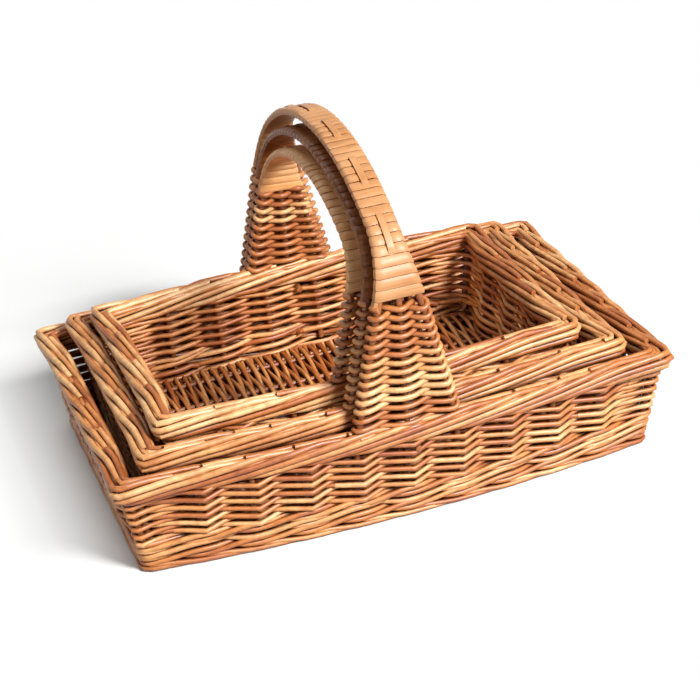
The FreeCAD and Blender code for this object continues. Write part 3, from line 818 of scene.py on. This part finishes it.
# The points of one turn: shares of the flat top, angles round each rounded
# edge, and shares of the flat underside
TOP_SHARES = (-1, -0.7, -0.42, -0.2, 0, 0.2, 0.42, 0.7, 1)
EDGE_ANGLES = (math.pi * 0.25, math.pi * 0.5, math.pi * 0.75)
UNDER_SHARES = (1, 0.5, 0, -0.5, -1)
TURN_TOP = len(TOP_SHARES) - 1
TURN_STEPS = len(TOP_SHARES) + len(UNDER_SHARES) + 2 * len(EDGE_ANGLES)
WRAP_BELOW_ARCH = 0.5 * MM
WRAP_CLEAR = 0.3 * MM
WRAP_FLARE = 3 * MM
# Under the leader strip the turns lie lower, and beside it they stand up.
LEADER_BED_HALF = 3.4 * MM
LEADER_BED = -0.7 * MM
LEADER_BANK = 0.5 * MM

# The leader strip: it starts and ends below the turns and climbs over them
LEADER_HALF_WIDTH = 3.0 * MM
LEADER_THICKNESS = 0.9 * MM
LEADER_TUCK = 2.5 * MM
LEADER_LOW = 0.2 * MM
LEADER_CLIMB = 1.5 * MM
LEADER_CLIMB_SHARE = 1 / 7
LEADER_CROWN = 0.25 * MM
LEADER_QUADS = (24, 4)


def turn_spot(step, half_width, half_depth):
    """A point of the loop round the handle's rods, as (x, rise), with the
    direction that faces outwards there. step runs from 0 to TURN_STEPS."""
    flat = half_width - half_depth
    top = [(share * flat, half_depth, 0, 1) for share in TOP_SHARES]
    right = [(flat + half_depth * math.sin(a), half_depth * math.cos(a), math.sin(a), math.cos(a))
             for a in EDGE_ANGLES]
    under = [(share * flat, -half_depth, 0, -1) for share in UNDER_SHARES]
    left = [(-x, rise, -out_x, out_rise) for x, rise, out_x, out_rise in right[::-1]]
    loop = top + right + under + left
    return loop[step % TURN_STEPS]


def turn_advance(step):
    """A turn lies square across the top and moves on by one width below."""
    return max(step - TURN_TOP, 0) / (TURN_STEPS - TURN_TOP)


def grid_strip(name, along, across):
    """A flat strip of quads, ready to be laid along a path."""
    bpy.ops.object.select_all(action="DESELECT")
    bpy.ops.mesh.primitive_grid_add(x_subdivisions=along, y_subdivisions=across, size=2)
    piece = bpy.context.view_layer.objects.active
    piece.name = name
    piece.data.name = name
    return piece


def finish_strip(piece, thickness, material, size):
    """Gives a laid strip its thickness, its finish and a map in metres."""
    pick_only(piece)
    for loop in piece.data.uv_layers[0].data:
        loop.uv = (loop.uv.x * size[0], loop.uv.y * size[1])
    solid = piece.modifiers.new("thickness", "SOLIDIFY")
    solid.thickness = thickness
    solid.offset = 1.0
    bpy.ops.object.modifier_apply(modifier=solid.name)
    piece.data.materials.append(material)
    bpy.ops.object.shade_smooth_by_angle(angle=STRIP_SMOOTH)


def handle_wrap(trug, handle, material):
    """One long flat cane wound round the handle from fan to fan."""
    reach = handle.length + WRAP_BELOW_ARCH
    turns = round(2 * reach / TURN_WIDTH)
    pitch = 2 * reach / turns
    along = turns * TURN_STEPS
    piece = grid_strip(trug.name + "_handle_cane", along, CANE_QUADS)
    starts = handle.leader_places()
    for vertex in piece.data.vertices:
        step = round((vertex.co.x + 1) / 2 * along)
        across = vertex.co.y
        place = -reach + pitch * (step // TURN_STEPS + turn_advance(step % TURN_STEPS))
        shown = max(-reach, min(reach, place + across * (pitch - TURN_GAP) / 2))
        flare = WRAP_FLARE * min(1.0, handle.haunch_angle(shown) / handle.outer_rod.slope)
        half_width = handle.half_width(shown) + HANDLE_ROD_RADIUS + WRAP_CLEAR + flare
        half_depth = HANDLE_ROD_RADIUS + WRAP_CLEAR + handle.drift(shown)
        x, rise, out_x, out_rise = turn_spot(step, half_width, half_depth)
        crowned = TURN_CROWN * (1 - across ** 4) + TURN_TILT * across * math.copysign(1, place)
        on_top = out_rise == 1
        if on_top and any(start <= place <= start + LEADER_LENGTH for start in starts):
            crowned += LEADER_BED if abs(x) < LEADER_BED_HALF else LEADER_BANK
        vertex.co = handle.arch_spot(shown, x + out_x * crowned, rise + out_rise * crowned)
    finish_strip(piece, CANE_THICKNESS, material, (turns * TURN_LENGTH, pitch))
    place_piece(piece, trug, "handle_wrap")


def handle_leader(trug, handle, material):
    """The leader strip where it shows: it comes up between two turns, lies
    over four or five and goes down again."""
    stretches = []
    for number, start in enumerate(handle.leader_places()):
        piece = grid_strip("{}_leader_{}".format(trug.name, number), *LEADER_QUADS)
        for vertex in piece.data.vertices:
            t = (vertex.co.x + 1) / 2
            place = between(start - LEADER_TUCK, start + LEADER_LENGTH + LEADER_TUCK, t)
            up = min(1.0, min(t, 1 - t) / LEADER_CLIMB_SHARE)
            rise = HANDLE_ROD_RADIUS + handle.drift(place) + LEADER_LOW + LEADER_CLIMB * smooth(up)
            rise += LEADER_CROWN * (1 - vertex.co.y ** 2)
            vertex.co = handle.arch_spot(place, vertex.co.y * LEADER_HALF_WIDTH, rise)
        finish_strip(piece, LEADER_THICKNESS, material, (LEADER_LENGTH, 2 * LEADER_HALF_WIDTH))
        stretches.append(piece)
    bpy.ops.object.select_all(action="DESELECT")
    for piece in stretches:
        piece.select_set(True)
    bpy.context.view_layer.objects.active = stretches[0]
    bpy.ops.object.join()
    piece = bpy.context.view_layer.objects.active
    piece.name = trug.name + "_handle_leader_strip"
    place_piece(piece, trug, "handle_leader")


def dress_solids(trug):
    """Stakes, posts, sticks, handle rods and pegs keep their solids."""
    for node in ("side_stakes", "corner_posts", "base_sticks", "handle_rods", "handle_pegs"):
        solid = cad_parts[trug.name + "_" + node]
        solid.data.materials.clear()
        solid.data.materials.append(UPRIGHT)


for trug_name in TRUG_NAMES:
    trug = Trug(trug_name)
    handle = Handle(trug)
    cane = CANES[trug_name]
    siding(trug)
    wale(trug)
    border(trug)
    foot_border(trug)
    floor_weave(trug)
    fan(trug, handle, -1, "handle_fan_front")
    fan(trug, handle, 1, "handle_fan_back")
    handle_wrap(trug, handle, cane)
    handle_leader(trug, handle, cane)
    dress_solids(trug)


# Floor, light and camera

STUDIO_SIZE = 12.0
# The floor doesn't glow round the trugs: a box that ends at the edge of the
# largest one, and behind it where the wall stops hiding the floor. The glow
# grows with the distance from it, in metres.
SHADED_MIDDLE = (0.0, 104 * MM, 0.0)
SHADED_HALF_LENGTH = 262 * MM
SHADED_HALF_WIDTH = 276 * MM
GLOW_STOPS = [(0.0, 0.0), (0.07, 0.75), (0.32, 1.0)]
# Where it is seen, the studio wall is white, and dim higher up. Heights are
# those of a ray's direction, with 0 level and 1 straight up.
WALL_WHITE_TO = 0.18
WALL_DIM_FROM = 0.34
DIM_CEILING = 0.08
LOW_LIGHT = 0.07
LAMP_AIM = (0, 0, 100 * MM)
# Each softbox: its place and size in metres, and its power in watts
SOFTBOXES = (("key_softbox", (1.45, -2.75, 2.7), 1.1, 272.0),
             ("fill_softbox", (-2.2, -1.4, 1.6), 1.5, 13.0),
             ("back_softbox", (-0.4, 1.2, 2.4), 1.4, 16.0))
# The camera's place and turn, worked out from the rims' corners: angles in
# degrees, how far the ground's middle lies to the right of the picture's
# middle and above it, and the focal length in pixels
CAMERA_AZIMUTH = -17.76
CAMERA_ELEVATION = 28.54
CAMERA_ROLL = -4.68
CAMERA_DISTANCE = 1999.4 * MM
GROUND_ACROSS = -0.3 * MM
GROUND_UP = -83.6 * MM
FOCAL_PIXELS = 1916
PICTURE_PIXELS = 700


def seen_rays(tree):
    """1 for a ray to the camera, off a shiny surface or through a clear one,
    which sees the white studio, and 0 for the light that falls on the trugs."""
    path = add_node(tree, "ShaderNodeLightPath")
    seen = add_node(tree, "ShaderNodeMath", {"operation": "MAXIMUM"},
                    {0: path.outputs["Is Camera Ray"], 1: path.outputs["Is Glossy Ray"]})
    shown = add_node(tree, "ShaderNodeMath", {"operation": "MAXIMUM"},
                     {0: seen.outputs["Value"], 1: path.outputs["Is Transmission Ray"]})
    return shown.outputs["Value"]


def stage_floor():
    """A plain white floor that keeps the trugs' shadow."""
    bpy.ops.object.select_all(action="DESELECT")
    bpy.ops.mesh.primitive_plane_add(size=STUDIO_SIZE, location=(0, 0, 0))
    floor = bpy.context.view_layer.objects.active
    floor.name = "studio_floor"
    material, tree = new_material("studio_floor_white")
    shown = seen_rays(tree)
    coords = add_node(tree, "ShaderNodeTexCoord")
    moved = add_node(tree, "ShaderNodeVectorMath", {"operation": "SUBTRACT"},
                     {0: coords.outputs["Object"], 1: SHADED_MIDDLE})
    apart = add_node(tree, "ShaderNodeVectorMath", {"operation": "ABSOLUTE"}, {0: moved.outputs["Vector"]})
    spots = add_node(tree, "ShaderNodeSeparateXYZ", None, {0: apart.outputs["Vector"]})
    past_x = add_node(tree, "ShaderNodeMath", {"operation": "SUBTRACT"},
                      {0: spots.outputs["X"], 1: SHADED_HALF_LENGTH})
    past_y = add_node(tree, "ShaderNodeMath", {"operation": "SUBTRACT"},
                      {0: spots.outputs["Y"], 1: SHADED_HALF_WIDTH})
    past = add_node(tree, "ShaderNodeMath", {"operation": "MAXIMUM"},
                    {0: past_x.outputs["Value"], 1: past_y.outputs["Value"]})
    near = add_node(tree, "ShaderNodeValToRGB", None, {"Fac": past.outputs["Value"]})
    set_ramp(near, [(place, (grey, grey, grey, 1.0)) for place, grey in GLOW_STOPS])
    share = add_node(tree, "ShaderNodeMath", {"operation": "MULTIPLY"},
                     {0: shown, 1: near.outputs["Color"]})
    # Seen, the floor is white. It gives back less light, so the undersides stay deep.
    tint = add_node(tree, "ShaderNodeMix", {"data_type": "RGBA"},
                    {"Factor": shown, "A": linear("#8F8378"), "B": linear("#F4F4F2")})
    paint = add_node(tree, "ShaderNodeBsdfDiffuse", None, {"Color": tint.outputs["Result"]})
    glow = add_node(tree, "ShaderNodeEmission", None, {"Color": linear("#FFFFFF"), "Strength": 1.0})
    mix = add_node(tree, "ShaderNodeMixShader", None,
                   {0: share.outputs["Value"], 1: paint.outputs["BSDF"], 2: glow.outputs["Emission"]})
    add_node(tree, "ShaderNodeOutputMaterial", None, {"Surface": mix.outputs["Shader"]})
    floor.data.materials.append(material)


def studio_world():
    """A white wall round the studio where it is seen, under a dim ceiling, and
    a low even light elsewhere."""
    world = bpy.data.worlds.new("studio")
    bpy.context.scene.world = world
    world.use_nodes = True
    tree = world.node_tree
    tree.nodes.clear()
    direction = add_node(tree, "ShaderNodeTexCoord")
    height = add_node(tree, "ShaderNodeSeparateXYZ", None, {0: direction.outputs["Generated"]})
    wall = add_node(tree, "ShaderNodeMapRange", None,
                    {"Value": height.outputs["Z"], "From Min": WALL_WHITE_TO, "From Max": WALL_DIM_FROM,
                     "To Min": 1.0, "To Max": DIM_CEILING})
    strength = add_node(tree, "ShaderNodeMapRange", None,
                        {"Value": seen_rays(tree), "To Min": LOW_LIGHT, "To Max": wall.outputs["Result"]})
    sky = add_node(tree, "ShaderNodeBackground", None,
                   {"Color": linear("#FFFFFF"), "Strength": strength.outputs["Result"]})
    add_node(tree, "ShaderNodeOutputWorld", None, {"Surface": sky.outputs["Background"]})


def studio_lamp(name, spot, size, power):
    """A square softbox that looks at the trugs."""
    lamp = bpy.data.lights.new(name, "AREA")
    lamp.shape = "SQUARE"
    lamp.size = size
    lamp.energy = power
    stand = bpy.data.objects.new(name, lamp)
    bpy.context.scene.collection.objects.link(stand)
    stand.location = spot
    stand.rotation_euler = (Vector(LAMP_AIM) - Vector(spot)).to_track_quat("-Z", "Y").to_euler()


def photo_camera():
    """The camera, at the photograph's viewing angle."""
    azimuth = math.radians(CAMERA_AZIMUTH)
    elevation = math.radians(CAMERA_ELEVATION)
    roll = math.radians(CAMERA_ROLL)
    back = Vector((math.sin(azimuth) * math.cos(elevation),
                   -math.cos(azimuth) * math.cos(elevation), math.sin(elevation)))
    level = (-back).cross(Vector((0, 0, 1))).normalized()
    upright = level.cross(-back)
    right = level * math.cos(roll) + upright * math.sin(roll)
    top = upright * math.cos(roll) - level * math.sin(roll)
    lens = bpy.data.cameras.new("photo_camera")
    lens.sensor_width = 36.0
    lens.lens = FOCAL_PIXELS / PICTURE_PIXELS * lens.sensor_width
    lens.clip_end = 50.0
    camera = bpy.data.objects.new("photo_camera", lens)
    bpy.context.scene.collection.objects.link(camera)
    turn = Matrix((right, top, back)).transposed().to_4x4()
    spot = back * CAMERA_DISTANCE - right * GROUND_ACROSS - top * GROUND_UP
    camera.matrix_world = Matrix.Translation(spot) @ turn
    bpy.context.scene.camera = camera


stage_floor()
studio_world()
for softbox in SOFTBOXES:
    studio_lamp(*softbox)
photo_camera()

bpy.context.scene.view_settings.view_transform = "Standard"
